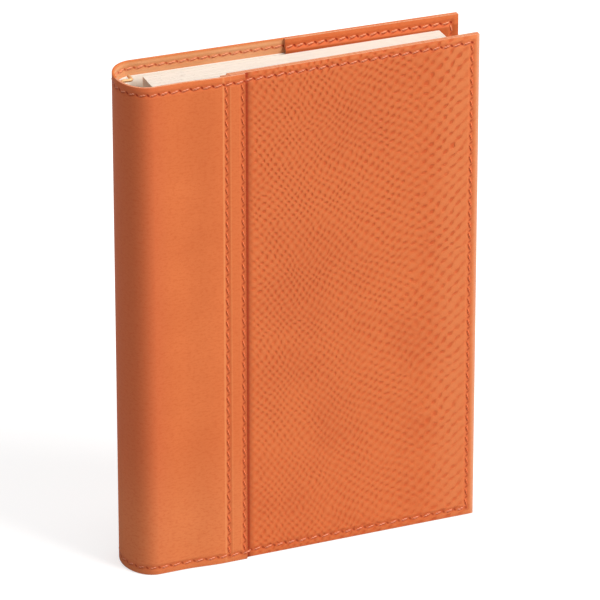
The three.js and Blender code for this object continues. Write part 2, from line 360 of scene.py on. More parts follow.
class Pattern:
    """A number that nodes work out for each place, with the usual signs for sums."""

    def __init__(self, nodes, socket):
        self.nodes, self.socket = nodes, socket

    __add__ = __radd__ = sum_sign("ADD")
    __mul__ = __rmul__ = sum_sign("MULTIPLY")
    __sub__, __rsub__ = sum_sign("SUBTRACT"), sum_sign("SUBTRACT", True)
    __truediv__ = sum_sign("DIVIDE")
    __abs__ = sum_sign("ABSOLUTE")


class Nodes:
    """A tree of nodes."""

    def __init__(self, tree):
        self.tree = tree
        self.tree.nodes.clear()

    def feed(self, socket, value):
        if isinstance(value, Pattern):
            value = value.socket
        if isinstance(value, bpy.types.NodeSocket):
            self.tree.links.new(value, socket)
        else:
            socket.default_value = value

    def node(self, kind, settings=None, **inputs):
        made = self.tree.nodes.new(kind)
        for key, value in (settings or {}).items():
            setattr(made, key, value)
        for key, value in inputs.items():
            self.feed(made.inputs[key.replace("_", " ")], value)
        return made

    def patterns(self, sockets):
        return [Pattern(self, socket) for socket in sockets]

    def parts(self, vector):
        """The three numbers of a place."""
        return self.patterns(self.node("ShaderNodeSeparateXYZ", Vector=vector).outputs)

    def math(self, operation, first, second=0):
        made = self.node("ShaderNodeMath", {"operation": operation})
        self.feed(made.inputs[0], first)
        self.feed(made.inputs[1], second)
        return Pattern(self, made.outputs[0])

    def greatest(self, first, second):
        return self.math("MAXIMUM", first, second)

    def within(self, value, low, high):
        return self.math("GREATER_THAN", value, low) * self.math("LESS_THAN", value, high)

    def from_nearest(self, value, pitch):
        """How far a value lies from the nearest whole pitch."""
        cell = value / pitch
        return (cell - self.math("ROUND", cell)) * pitch

    def ramp(self, value, low, high):
        """0 below low and 1 above high; low may be the greater of the two."""
        backwards = low > high
        made = self.node(
            "ShaderNodeMapRange", {"interpolation_type": "SMOOTHSTEP"}, Value=value, From_Min=min(low, high),
            From_Max=max(low, high), To_Min=float(backwards), To_Max=float(not backwards))
        return Pattern(self, made.outputs["Result"])

    def mix(self, share, first, second, kind="RGBA"):
        """A mix of two colours, or of two numbers where the kind is FLOAT."""
        made = self.node("ShaderNodeMix", {"data_type": kind})
        at, out = (6, 2) if kind == "RGBA" else (2, 0)
        for index, value in ((0, share), (at, first), (at + 1, second)):
            self.feed(made.inputs[index], value)
        return Pattern(self, made.outputs[out])


class Finish(Nodes):
    """A material whose colour is built up layer by layer."""

    def __init__(self, name):
        self.material = bpy.data.materials.new(name)
        self.material.use_nodes = True
        super().__init__(self.material.node_tree)
        self.color = None
        self.place = None

    def on_map(self):
        """Lays patterns out on a sheet's own map; returns its travel and height in millimetres."""
        self.place = self.node("ShaderNodeUVMap", {"uv_map": "travel_and_height"}).outputs[0]
        travel, height, _ = self.parts(self.place)
        return travel * (1 / MM), height * (1 / MM)

    def on_object(self):
        self.place = self.node("ShaderNodeTexCoord").outputs["Object"]

    def noise(self, scale, detail=3, roughness=0.5, stretch=None, at=None):
        at = at or self.place
        if stretch:
            at = self.node("ShaderNodeMapping", Vector=at, Scale=stretch).outputs[0]
        made = self.node("ShaderNodeTexNoise", Vector=at, Scale=scale, Detail=detail, Roughness=roughness)
        return Pattern(self, made.outputs[0])

    def base(self, pattern, low, high, deep, pale):
        """Starts the colour, from deep where the pattern is low to pale."""
        self.color = self.mix(self.ramp(pattern, low, high), deep, pale)

    def cover(self, target, share):
        """Takes the colour towards a target, by a share of 0 to 1."""
        self.color = self.mix(share, self.color, target)

    def tint(self, target, pattern, low, high, strength=1):
        """Takes the colour towards a target as the pattern goes from low to high."""
        self.cover(target, self.ramp(pattern, low, high) * strength)

    def surface(self, roughness, relief, depth, specular=0.2, sheen=0, metallic=0):
        """Closes the material; depth is the relief's, in millimetres."""
        bump = self.node("ShaderNodeBump", Strength=1, Distance=depth * MM, Height=relief)
        shader = self.node(
            "ShaderNodeBsdfPrincipled", Base_Color=self.color, Roughness=roughness, Specular_IOR_Level=specular,
            Sheen_Weight=sheen, Metallic=metallic, Normal=bump.outputs[0])
        self.node("ShaderNodeOutputMaterial", Surface=shader.outputs[0])
        return self.material


ORANGE = (0.785, 0.196, 0.056, 1)
ORANGE_DEEP = (0.73, 0.172, 0.047, 1)
ORANGE_ROUND_SHADE = (0.695, 0.15, 0.049, 1)
PANEL_ORANGE = (0.735, 0.174, 0.049, 1)
PANEL_DEEP = (0.682, 0.151, 0.042, 1)
ORANGE_PALE = (0.755, 0.23, 0.082, 1)
PANEL_PALE = (0.76, 0.205, 0.066, 1)
ORANGE_PIT = (0.615, 0.082, 0.016, 1)
POCKET_SHADE_COLOR = (0.5, 0.1, 0.022, 1)
HOLE_AND_SHADOW_DARK = (0.335, 0.026, 0.004, 1)
RED_BLOTCH_AND_GROOVE_SHADE = (0.66, 0.128, 0.036, 1)
SEAM_SHADE = (0.44, 0.092, 0.024, 1)
PAINTED_LIGHT_PALE = (0.84, 0.305, 0.112, 1)
REVERSE = (0.835, 0.42, 0.205, 1)
REVERSE_DEEP = (0.78, 0.345, 0.148, 1)
REVERSE_MARK = (0.52, 0.085, 0.032, 1)
RIM_AND_GROOVE_SHADE_ORANGE = (0.7, 0.185, 0.045, 1)
THREAD_WORN = (0.72, 0.185, 0.075, 1)
RAW_EDGE = (0.81, 0.37, 0.215, 1)
RAW_EDGE_DEEP = (0.73, 0.25, 0.12, 1)
CARD_PALE = (0.94, 0.9, 0.83, 1)
CARD_DEEP = (0.9, 0.84, 0.75, 1)
CARD_FIBRE = (0.8, 0.72, 0.62, 1)
PAPER_PALE = (0.89, 0.805, 0.72, 1)
PAPER_DEEP = (0.87, 0.78, 0.695, 1)
PAPER_FIBRE = (0.78, 0.68, 0.56, 1)
INK = (0.36, 0.36, 0.38, 1)
BRASS_PALE = (0.8, 0.49, 0.25, 1)
BRASS_DEEP = (0.72, 0.41, 0.19, 1)

# Where tones, painted shade and painted light change, in millimetres of travel or of height
ROUND_PAINTED_SHADE = (21.5, 12)
LAP_TONE = (35, 38)
FOOT_PAINTED_LIGHT = (46, 10)
HEAD_PAINTED_SHADE = (50, 160)
POCKET_SHADE_BAND = (TOP_ROW - 0.3, TOP_ROW - 1.2)
REVERSE_RIM = (TOP_ROW + 1.4, TOP_ROW + 2.3)
FORE_PALE = (FORE_ROW - 15, FORE_ROW - 4)
FORE_LENGTHEN = (FORE_ROW - 10, FORE_ROW - 2)
FORE_MARGIN_HIGHLIGHT = (FORE_ROW + 0.4, FORE_ROW + 1.4)
FORE_RIM = (EDGE_TRAVEL - 1.2, EDGE_TRAVEL - 0.2)

# A stitch's marks in millimetres: half an oval's length and width, and how far aside the thread's painted shadow
# lies
HOLE_HALVES = (0.7, 0.38)
THREAD_SHADOW_HALVES = (1.45, 0.3)
THREAD_SHADOW_ASIDE = 0.34
DIP_REACH = (1.25, 0.15)
MARK_PLAY = 0.9
THREAD_SHADOW_SHARE = 0.65
UPRIGHT_MARKS, TOP_MARKS, BOTTOM_MARKS = 0.58, 1, 0.7
DIAGONAL = 0.7071

# Waves counted along the panel: rate per millimetre, what is added round a place, the place and its spread
LEANING_WAVES = (0.22, 0.25, 24, 20)
FALLING_WAVES = (0.215, 0.26, 14, 15)
# Waves per millimetre up the panel, of the leaning and of the falling family
FINE_RATES = (0.345, 0.36)
COARSE_RATES = (0.276, 0.274)
WIDENING = (52, 56)
FAR_WANDER, NEAR_WANDER, TURN_WANDER = 4.6, 1.5, 26

# The ruling of a page, in millimetres from its foot
PAGE_FOOT, PAGE_HEAD, HEADER_LINE = 10, 141, 146
LINE_PITCH, DAY_PITCH = 4.3667, 26.2


def needle_group():
    """A stitch row's marks: the slanted hole between two stitches, a painted shadow of the thread beside it and
    the row's dip.
    """
    tree = bpy.data.node_groups.new("needle_marks", "ShaderNodeTree")
    for in_out, names in (("INPUT", "Along,Across,Pitch,Crease Side"), ("OUTPUT", "Hole,Crease,Dip")):
        for name in names.split(","):
            tree.interface.new_socket(name=name, in_out=in_out, socket_type="NodeSocketFloat")
    marks = Nodes(tree)
    along, across, pitch, side = marks.patterns(marks.node("NodeGroupInput").outputs[:4])

    def oval(*axes):
        """How far out a place lies, where 1 is on the oval. An axis is a distance and half the oval's size."""
        first, second = (marks.math("POWER", abs(value / half), 2) for value, half in axes)
        return marks.math("SQRT", first + second)

    near = marks.from_nearest(along, pitch)
    hole = oval(((near - across) * DIAGONAL, HOLE_HALVES[0]), ((near + across) * DIAGONAL, HOLE_HALVES[1]))
    cell = along / pitch
    from_middle = (cell - marks.math("FLOOR", cell) - 0.5) * pitch
    # The thread's painted shadow lies beside it, on the side away from the light
    beside = across - from_middle * math.tan(math.radians(STITCH_TURN)) - side * THREAD_SHADOW_ASIDE
    thread_shadow = oval((from_middle, THREAD_SHADOW_HALVES[0]), (beside, THREAD_SHADOW_HALVES[1]))
    marks.node("NodeGroupOutput", Hole=marks.ramp(hole, 1.2, 0.3), Crease=marks.ramp(thread_shadow, 1.15, 0.3),
               Dip=marks.ramp(abs(across), *DIP_REACH))
    return tree


NEEDLE = needle_group()


def needle_rows(finish, travel, height, rows, handed, rim=(RED_BLOTCH_AND_GROOVE_SHADE, 0.5), dark=(HOLE_AND_SHADOW_DARK, 1)):
    """Covers a finish with the marks of rows: painted shade in each row's groove, and the holes' dark with
    painted shadows of the thread. A row is ('level' or 'upright', its place, from, to, pitch).
    """
    holes, dips = None, None
    for kind, at, low, high, pitch in rows:
        # Its painted shadow falls below a level row and to one side of an upright row
        if kind == "level":
            along, across, side = travel, height - at, -1
            share = TOP_MARKS if at > JACKET_HEIGHT / 2 else BOTTOM_MARKS
        else:
            along, across, side, share = height, at - travel, 1, UPRIGHT_MARKS
        marks = finish.node(
            "ShaderNodeGroup", {"node_tree": NEEDLE}, Along=along - low, Across=across * handed, Pitch=pitch,
            Crease_Side=side)
        hole, thread_shadow, dip = finish.patterns(marks.outputs)
        within = finish.within(along, low - MARK_PLAY, high + MARK_PLAY)
        # One mark holds the hole and the thread's painted shadow
        hole = finish.greatest(hole, thread_shadow * THREAD_SHADOW_SHARE) * (within * share)
        dip = dip * within
        holes = finish.greatest(holes, hole) if holes else hole
        dips = finish.greatest(dips, dip) if dips else dip
    # Painted shade in each row's groove, then the holes' dark with the painted shadows
    for marks, (target, share) in ((dips, rim), (holes, dark)):
        finish.cover(target, marks * share)
    return holes, dips


LEVEL_ROWS = [("level", height, 0, FORE_ROW, pitch) for height, pitch in LEVEL_PITCHES]
FORE_ROWS = [("upright", FORE_ROW, BOTTOM_ROW, TOP_ROW, VERTICAL_PITCH)]
SEAM_ROWS = [("upright", travel_at(x), BOTTOM_ROW, TOP_ROW, VERTICAL_PITCH)
             for x in (INNER_SEAM_X, OUTER_SEAM_X)]


def smooth_leather(name, rows, handed, folds=(), pocket_shade=0):
    """Smooth coloured leatherette: clouds of tone, creases, pores and the marks of its stitch rows, with painted
    shade round the spine, painted light at the foot, and painted lines and pocket shade where given.
    """
    finish = Finish(name)
    travel, height = finish.on_map()
    clouds = finish.noise(45, 4, 0.6)
    drift = finish.noise(14, 2)
    streaks = finish.noise(160, 3, 0.6, (1, 0.35, 1))
    pores = finish.noise(2600, 2, 0.6)
    creases = finish.noise(1500, 3, 0.7, (0.5, 1, 1))
    blotches = finish.noise(300, 3, 0.6)
    finish.base(clouds * 0.55 + drift * 0.45, 0.4, 0.62, ORANGE_DEEP, ORANGE)
    finish.tint(ORANGE_DEEP, streaks, 0.58, 0.85, 0.35)
    # Painted shade: darker and redder round the spine, where it turns away from the light
    finish.tint(ORANGE_ROUND_SHADE, travel, *ROUND_PAINTED_SHADE, 0.85)
    finish.tint(PANEL_ORANGE, travel, *LAP_TONE, 0.8)
    # Painted light: paler towards the foot
    finish.tint(PAINTED_LIGHT_PALE, height, *FOOT_PAINTED_LIGHT, 0.36)
    finish.tint(ORANGE_PALE, pores, 0.3, 0.7, 0.2)
    finish.tint(ORANGE_PIT, creases, 0.46, 0.66, 0.27)
    finish.tint(RED_BLOTCH_AND_GROOVE_SHADE, blotches, 0.5, 0.7, 0.16)
    # Painted shade over the pocket below its top row
    if pocket_shade:
        finish.tint(POCKET_SHADE_COLOR, height, *POCKET_SHADE_BAND, pocket_shade)
    # Painted highlights and painted shadow along lines of travel
    for at, width, strength, target in folds:
        finish.tint(target, abs(travel - at), width, 0, strength)
    # Stitch marks with painted shade in the rows' grooves and painted shadows of the thread
    holes, dips = needle_rows(finish, travel, height, rows, handed)
    return finish.surface(0.5 + clouds * 0.16, pores * 0.06 + clouds * 0.22 - dips * 0.55 - holes * 0.2, 0.35)


def embossed_leather(name, rows, handed):
    """Leatherette pressed with a lizard grain: pits on a staggered net, larger towards the fore-edge."""
    finish = Finish(name)
    travel, height = finish.on_map()
    elsewhere = finish.node("ShaderNodeMapping", Vector=finish.place, Location=(3.7, 1.9, 0)).outputs[0]
    slow, quick = (
        [finish.noise(*kind, at=at) - 0.5 for at in (finish.place, elsewhere)] for kind in ((60, 2), (260, 1)))
    across = travel - travel_at(WRAP_EDGE)
    sideways = across + (slow[0] * FAR_WANDER + quick[0] * NEAR_WANDER)
    up = height + (slow[1] * FAR_WANDER + quick[1] * NEAR_WANDER)

    def count(rate, more, middle, spread):
        """Waves counted sideways: a steady rate, and more of them round one place."""
        return sideways * rate + finish.math("TANH", (sideways - middle) / spread) * (more * spread)

    leaning, falling = count(*LEANING_WAVES), count(*FALLING_WAVES)

    def net(rates, share):
        """Pits where two families of waves meet, lengthened along the first by a greater share."""
        first, second = (
            finish.math("COSINE", (counted + up * rate) * (2 * math.pi))
            for counted, rate in ((leaning, -rates[0]), (falling, rates[1])))
        return first * share + second * (1 - share)

    fine = net(FINE_RATES, 0.63)
    coarse = net(COARSE_RATES, 0.7 + finish.ramp(travel, *FORE_LENGTHEN) * 0.12)
    widened = finish.ramp(across + slow[1] * TURN_WANDER, *WIDENING)
    pits = finish.mix(widened, finish.ramp(fine, 0.15, 0.95), finish.ramp(coarse, 0.2, 0.95), "FLOAT")
    ridges = finish.mix(widened, finish.ramp(fine, 0, -0.8), finish.ramp(coarse, 0, -0.8), "FLOAT")

    uneven = 0.54 + finish.ramp(finish.noise(110, 3, 0.6), 0.35, 0.65) * 0.36
    from_edges = finish.ramp(FORE_ROW - travel, 0, 4) * finish.ramp(across, 0.5, 4.5)
    higher = 0.8 + finish.ramp(height, 0, 150) * 0.35
    strength = uneven * (0.3 + from_edges * 0.7) * (higher + widened * 0.12)

    clouds = finish.noise(40, 3, 0.55)
    finish.base(clouds, 0.3, 0.6, PANEL_DEEP, PANEL_ORANGE)
    # Painted shade: darker towards the panel's head
    finish.tint(PANEL_DEEP, height, *HEAD_PAINTED_SHADE, 0.5)
    finish.tint(PANEL_PALE, travel, *FORE_PALE)
    finish.tint(ORANGE_PIT, finish.noise(1150, 2, 0.7), 0.45, 0.72, 0.16)
    finish.cover(ORANGE_PIT, pits * strength * 0.66)
    finish.cover(ORANGE_PALE, ridges * 0.35)
    # Painted highlight on the margin beyond the fore-edge row
    finish.tint(ORANGE_PALE, travel, *FORE_MARGIN_HIGHLIGHT, 0.55)
    finish.tint(RAW_EDGE, travel, *FORE_RIM, 0.8)
    # Painted shade and a painted shadow on the panel beside the smooth strip's edge
    finish.tint(SEAM_SHADE, across, 3, 0.8, 0.75)
    finish.tint(HOLE_AND_SHADOW_DARK, across, 1.5, 0.75, 0.8)
    # Stitch marks with painted shade in the rows' grooves and painted shadows of the thread
    holes, dips = needle_rows(finish, travel, height, rows, handed)
    pores = finish.noise(2400, 2, 0.6)
    relief = pits * strength * -0.6 + ridges * 0.12 + pores * 0.05 - dips * 0.6 - holes * 0.2
    return finish.surface(0.46 + clouds * 0.14, relief, 0.31)


def leather_reverse(name, rows, handed):
    """The leatherette's bare, paler back: a short felted nap with the stitches' marks, among them painted shade
    in the rows' grooves and painted shadows of the thread.
    """
    finish = Finish(name)
    travel, height = finish.on_map()
    nap = finish.noise(1500, 4, 0.7)
    fibres = finish.noise(420, 3, 0.6, (1, 0.4, 1))
    finish.base(finish.noise(60, 3), 0.35, 0.7, REVERSE_DEEP, REVERSE)
    finish.tint(REVERSE_DEEP, fibres, 0.45, 0.8, 0.25)
    finish.tint(RIM_AND_GROOVE_SHADE_ORANGE, height, *REVERSE_RIM, 0.8)
    # Painted shade in the rows' grooves; the holes' mark holds painted shadows of the thread
    _, dips = needle_rows(finish, travel, height, rows, handed, (RIM_AND_GROOVE_SHADE_ORANGE, 0.4), (REVERSE_MARK, 0.95))
    return finish.surface(0.85, nap * 0.3 + fibres * 0.2 - dips * 0.5, 0.3, sheen=0.15)


def cut_edge(name, deep, pale):
    """The raw cut edge, with loose fibres."""
    finish = Finish(name)
    finish.on_map()
    fibres = finish.noise(1900, 3, 0.7)
    finish.base(fibres, 0.35, 0.65, deep, pale)
    finish.tint(REVERSE, finish.noise(130, 2), 0.5, 0.7, 0.25)
    return finish.surface(0.8, fibres, 0.12)


def sewing_thread(name, dark, pale, specular=0.12):
    """Twisted thread: two plies wound round each other."""
    finish = Finish(name)
    along, around, _ = finish.parts(finish.node("ShaderNodeUVMap", {"uv_map": "thread_place"}).outputs[0])
    plies = finish.math("SINE", (along * 3.2 + around * 2) * (2 * math.pi))
    finish.base(plies, -1, 0.4, dark, pale)
    finish.on_object()
    finish.tint(THREAD_WORN, finish.noise(700, 2), 0.4, 0.7, 0.3)
    return finish.surface(0.6, plies, 0.02, specular)


def white_card(name):
    """Smooth coated card, a little warm, with a faint fibre."""
    finish = Finish(name)
    finish.on_object()
    fibres = finish.noise(900, 4, 0.65)
    finish.base(finish.noise(35, 2), 0.3, 0.7, CARD_DEEP, CARD_PALE)
    finish.cover(CARD_FIBRE, fibres * 0.1)
    return finish.surface(0.55, fibres, 0.03, 0.3)


def ruled_paper(name, page_left, page_right):
    """Cream paper with a weekly page's faint ruling: header line, day boxes and writing lines."""
    finish = Finish(name)
    finish.on_object()
    x, _, z = finish.parts(finish.place)
    x, z = (x - SPINE_X) * (1 / MM), z * (1 / MM)
    fibres = finish.noise(1100, 4, 0.65)
    finish.base(finish.noise(50, 2), 0.3, 0.7, PAPER_DEEP, PAPER_PALE)
    finish.cover(PAPER_FIBRE, fibres * 0.08)

    def line(distance, width):
        return finish.ramp(abs(distance), width, width * 0.4)

    on_page = finish.within(x, page_left, page_right)
    writing = line(finish.from_nearest(z - PAGE_FOOT, LINE_PITCH), 0.1) * 0.35
    days = line(finish.from_nearest(z - PAGE_FOOT, DAY_PITCH), 0.17) * 0.9
    column = line(x - (page_left + page_right) / 2, 0.14)
    boxes = finish.greatest(finish.greatest(writing, days), column) * finish.within(z, PAGE_FOOT, PAGE_HEAD)
    boxes, header = boxes * on_page, line(z - HEADER_LINE, 0.28) * on_page
    finish.cover(INK, finish.greatest(boxes, header) * 0.62)
    return finish.surface(0.8, fibres, 0.03)


def coil_metal(name):
    """Brass-toned steel wire, drawn and slightly dulled."""
    finish = Finish(name)
    finish.on_object()
    drawn = finish.noise(900, 3, 0.6, (1, 1, 0.2))
    finish.base(finish.noise(120, 3), 0.35, 0.7, BRASS_DEEP, BRASS_PALE)
    return finish.surface(0.38 + drawn * 0.22, drawn, 0.02, 0.4, metallic=0.4)


# The lap's painted lines: painted highlights where the strip rises over the panel's edge and over the pocket's
# edge, and painted shadow by the strip's own edge. Each is where, half how wide, how strong, towards what
LAP_PAINTED_LINES = ((travel_at(29.15), 0.55, 0.65, PAINTED_LIGHT_PALE), (travel_at(31.35), 0.35, 0.3, PAINTED_LIGHT_PALE),
             (travel_at(35.7), 1.7, 0.42, SEAM_SHADE))
POCKET_SHADE_SHARE = 0.75
COVER_ROWS = LEVEL_ROWS + FORE_ROWS

wrap_front_skin = smooth_leather("smooth_leather_front", LEVEL_ROWS + SEAM_ROWS, 1, LAP_PAINTED_LINES)
wrap_back_skin = smooth_leather("smooth_leather_back", COVER_ROWS, -1)
panel_skin = embossed_leather("embossed_leather", COVER_ROWS, 1)
front_reverse = leather_reverse("leather_reverse_front", LEVEL_ROWS, -1)
back_reverse = leather_reverse("leather_reverse_back", LEVEL_ROWS, 1)
front_pocket_skin = smooth_leather("smooth_leather_front_pocket", COVER_ROWS, -1, pocket_shade=POCKET_SHADE_SHARE)
back_pocket_skin = smooth_leather("smooth_leather_back_pocket", COVER_ROWS, 1, pocket_shade=POCKET_SHADE_SHARE)
raw_edge = cut_edge("leather_cut_edge", RAW_EDGE_DEEP, RAW_EDGE)
back_raw_edge = cut_edge("leather_cut_edge_back", ORANGE, RIM_AND_GROOVE_SHADE_ORANGE)
# Two copies of one outer thread: the level rows' copy is painted paler, as lit from above
upright_thread_finish = sewing_thread("sewing_thread", (0.68, 0.09, 0.02, 1), (0.84, 0.24, 0.098, 1), 0.08)
lit_level_thread_finish = sewing_thread("sewing_thread_lit_level", (0.62, 0.11, 0.04, 1), (0.82, 0.33, 0.19, 1), 0.3)
inner_thread_finish = sewing_thread("sewing_thread_inside", (0.74, 0.22, 0.105, 1), (0.88, 0.385, 0.215, 1))
card_finish = white_card("white_card")
page_finish = ruled_paper("ruled_pages", 24, 99)
coil_finish = coil_metal("brass_wire")


# The jacket's leather

# Millimetres between a sheet's level cuts, the lap rise's steps and their greatest length, and how much edges
# are rounded
LEVEL_STEP = 4
LAP_STEPS = 12
LAP_STEP = 1.5
LEATHER_ROUNDING, POCKET_ROUNDING, CARD_ROUNDING = 0.14, 0.12, 0.05
# Distances from a pocket's sewn edges: where its points lie, and where it rises over the card
POCKET_GAPS = (0, 1.3, 2.5, 2.75, 3, 3.2, 3.45, 4.2, 5.5)
POCKET_FLAT = 8
SWELL_START, SWELL_WIDTH, SWELL_ROOM = 2.5, 0.95, 0.04
FAR = 99


def bend(piece):
    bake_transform(piece)


def on_spine_line(co):
    return abs(co.x - SPINE_X) < 2 * LEATHER * MM and abs(co.y - MIDDLE_Y) < 1e-6


def leather(name, side, outline, finishes, keep_sharp=lambda co: False):
    """A sheet of leatherette over the jacket's whole height."""
    sheet = upright_sheet(name, outline, 0, JACKET_HEIGHT, levels(LEVEL_STEP))
    face_towards(sheet, Vector((0, side, 0)))
    thicken(sheet, LEATHER, finishes, LEATHER_ROUNDING, keep_sharp)
    return sheet


def lap_outline():
    """Half the spine and the front's smooth strip, which steps out over the embossed panel's edge."""
    rise = [(LAP_RISE_START + (PANEL_EDGE - LAP_RISE_START) * i / LAP_STEPS, -LAP_LIFT * eased(i / LAP_STEPS))
            for i in range(LAP_STEPS + 1)]
    start = cover_outline(FRONT, [(SPINE_DEPTH, 0), (LAP_RISE_START, 0)])[1:-1]
    return spine_outline(FRONT) + start + cover_outline(FRONT, rise + [(WRAP_EDGE, -LAP_LIFT)], LAP_STEP)


def pocket_depth(gap):
    """How deep a pocket lies, by the distance from its nearest sewn edge: on the cover, then over the card."""
    return SEWN_DEPTH + (POCKET_DEPTH + SWELL_ROOM - SEWN_DEPTH) * eased((gap - SWELL_START) / SWELL_WIDTH)


def pocket(name, side, edge, skin, reverse):
    """An inner pocket: a sheet sewn down along three edges that swells over the card slipped under it.
    Its hidden face is drawn first, so it is moved inwards by its thickness before it gets its wall."""
    places = [(edge, pocket_depth(FAR)), (JACKET_WIDTH - POCKET_FLAT, pocket_depth(FAR))]
    places += [(JACKET_WIDTH - gap, pocket_depth(gap)) for gap in reversed(POCKET_GAPS)]
    bottom, top = POCKET_FLAT, JACKET_HEIGHT - POCKET_FLAT
    heights = list(POCKET_GAPS[1:]) + [JACKET_HEIGHT - gap for gap in POCKET_GAPS[1:]]
    heights += levels(LEVEL_STEP, bottom, top) + [bottom, top]
    sheet = upright_sheet(name, cover_outline(side, places), 0, JACKET_HEIGHT, heights)
    _, outward = cover_directions(side)
    edit(sheet)
    for gap in POCKET_GAPS[:-2]:
        for from_edge in (FAR, *POCKET_GAPS):

            def in_group(co):
                level = min(abs(co.z - gap * MM), abs(co.z - (JACKET_HEIGHT - gap) * MM)) < 1e-6
                distance = JACKET_WIDTH - (co.x - SPINE_X) / MM
                return level and (distance > 5.6 if from_edge == FAR else abs(distance - from_edge) < 0.05)

            lift = pocket_depth(from_edge) - pocket_depth(min(gap, from_edge))
            if lift > 1e-4:
                pick(sheet, "verts", in_group)
                bpy.ops.transform.translate(value=outward * lift * MM)
    done()
    face_towards(sheet, -outward)
    if any(polygon.normal.dot(-outward) < 0 for polygon in sheet.data.polygons):
        raise ValueError(name + " folds over itself")
    edit(sheet)
    pick_all()
    bpy.ops.transform.translate(value=-outward * POCKET_SHEET * MM)
    done()
    thicken(sheet, POCKET_SHEET, (skin, reverse, raw_edge), POCKET_ROUNDING)
    return sheet


front_leather = leather(
    "smooth_wrap_front", FRONT, lap_outline(), (wrap_front_skin, front_reverse, raw_edge), on_spine_line)
bend(front_leather)
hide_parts("wrap_front", "wrap_spine")

back_outline = spine_outline(BACK) + cover_outline(BACK, [(SPINE_DEPTH, 0), (JACKET_WIDTH, 0)])[1:]
back_leather = leather(
    "smooth_wrap_back", BACK, back_outline, (wrap_back_skin, back_reverse, back_raw_edge), on_spine_line)
bend(back_leather)
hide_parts("wrap_back", "wrap_spine")

# The panel's spine-side edge lies under the smooth strip
panel_outline = cover_outline(FRONT, [(PANEL_EDGE, 0), (JACKET_WIDTH, 0)])
panel = leather("embossed_front", FRONT, panel_outline, (panel_skin, front_reverse, raw_edge))
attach(panel, "front_cover")
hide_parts("front_panel")

front_pocket = pocket("pocket_front", FRONT, FRONT_POCKET_EDGE, front_pocket_skin, front_reverse)
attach(front_pocket, "front_cover")
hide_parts("front_flap")

back_pocket = pocket("pocket_back", BACK, BACK_POCKET_EDGE, back_pocket_skin, back_reverse)
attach(back_pocket, "back_cover")
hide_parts("back_flap")


# Stitches

# Along a stitch: share of its half length, height in millimetres, share of the thread's thickness
STITCH_RINGS = ((-1, -0.46, 0.5), (-0.92, -0.22, 0.8), (-0.66, 0, 1), (0, 0.09, 1.06),
                (0.66, 0, 1), (0.92, -0.22, 0.8), (1, -0.46, 0.5))
HALF_STITCH = STITCH_LENGTH / 2


def middle_height(share):
    """The height of the stitch's middle line at a share of its half length."""
    for (x, z, _), (next_x, next_z, _) in zip(STITCH_RINGS, STITCH_RINGS[1:]):
        if share <= next_x + 1e-6:
            return z + (next_z - z) * (share - x) / (next_x - x)
    return STITCH_RINGS[-1][1]


def single_stitch():
    """One stitch lying along X, its ends pulled down into the leather."""
    x, z, share = STITCH_RINGS[0]
    bpy.ops.mesh.primitive_circle_add(
        vertices=8, radius=THREAD / 2 * share * MM, fill_type="NGON",
        location=(x * HALF_STITCH * MM, 0, z * MM), rotation=(0, math.pi / 2, 0))
    stitch = newest("stitch")
    settle(stitch)
    edit(stitch, "FACE")
    pick_all()
    for (x, z, share), (next_x, next_z, next_share) in zip(STITCH_RINGS, STITCH_RINGS[1:]):
        step = ((next_x - x) * HALF_STITCH * MM, 0, (next_z - z) * MM)
        bpy.ops.mesh.extrude_region_move(TRANSFORM_OT_translate={"value": step})
        bpy.ops.transform.resize(
            value=(next_share / share,) * 3, center_override=(next_x * HALF_STITCH * MM, 0, next_z * MM))
    pick_all()
    bpy.ops.mesh.normals_make_consistent(inside=False)
    done()
    stitch.data.materials.append(lit_level_thread_finish)
    layer = own_map(stitch, "thread_place")
    for polygon in stitch.data.polygons:
        turns = []
        for index in polygon.loop_indices:
            co = stitch.data.vertices[stitch.data.loops[index].vertex_index].co
            up = co.z - middle_height(co.x / MM / HALF_STITCH) * MM
            turns.append((index, math.atan2(co.y, up) / (2 * math.pi) + 0.5, co.x / MM))
        widest = max(turn for _, turn, _ in turns)
        for index, turn, x in turns:
            layer[index].uv = (x / STITCH_LENGTH + 0.5, turn + 1 if widest - turn > 0.5 else turn)
    take(stitch)
    bpy.ops.object.shade_smooth()
    return stitch


STITCH = single_stitch()
shuffle = random.Random(7)


# How far stitches differ: slant in degrees, length and width as shares, place across the row in millimetres
SLANT_PLAY = (-2.5, 2.5)
LENGTH_PLAY = (-0.05, 0.04)
WIDTH_PLAY = (-0.07, 0.07)
ROW_PLAY = (-0.06, 0.06)


def copy_of(piece):
    """A copy with its own mesh."""
    copy = piece.copy()
    copy.data = piece.data.copy()
    bpy.context.scene.collection.objects.link(copy)
    return copy


def stitch_at(point, height, along, outward, finish):
    """A copy of the stitch lying on a surface, turned a little across its row."""
    across = outward.cross(along)
    turned = Matrix((along, across, outward)).transposed().to_4x4()
    slant = Matrix.Rotation(math.radians(STITCH_TURN + shuffle.uniform(*SLANT_PLAY)), 4, "Z")
    stretch = Matrix.Diagonal((1 + shuffle.uniform(*LENGTH_PLAY), 1 + shuffle.uniform(*WIDTH_PLAY), 1, 1))
    sway = shuffle.uniform(*ROW_PLAY) * MM
    stitch = copy_of(STITCH)
    stitch.data.materials[0] = finish
    middle = place(point.x, point.y, height) + across * sway
    stitch.matrix_world = Matrix.Translation(middle) @ turned @ slant @ stretch
    return stitch


def centres(low, high, pitch):
    """Middles of the stitches between two places."""
    return [low + pitch * (i + 0.5) for i in range(round((high - low) / pitch))]


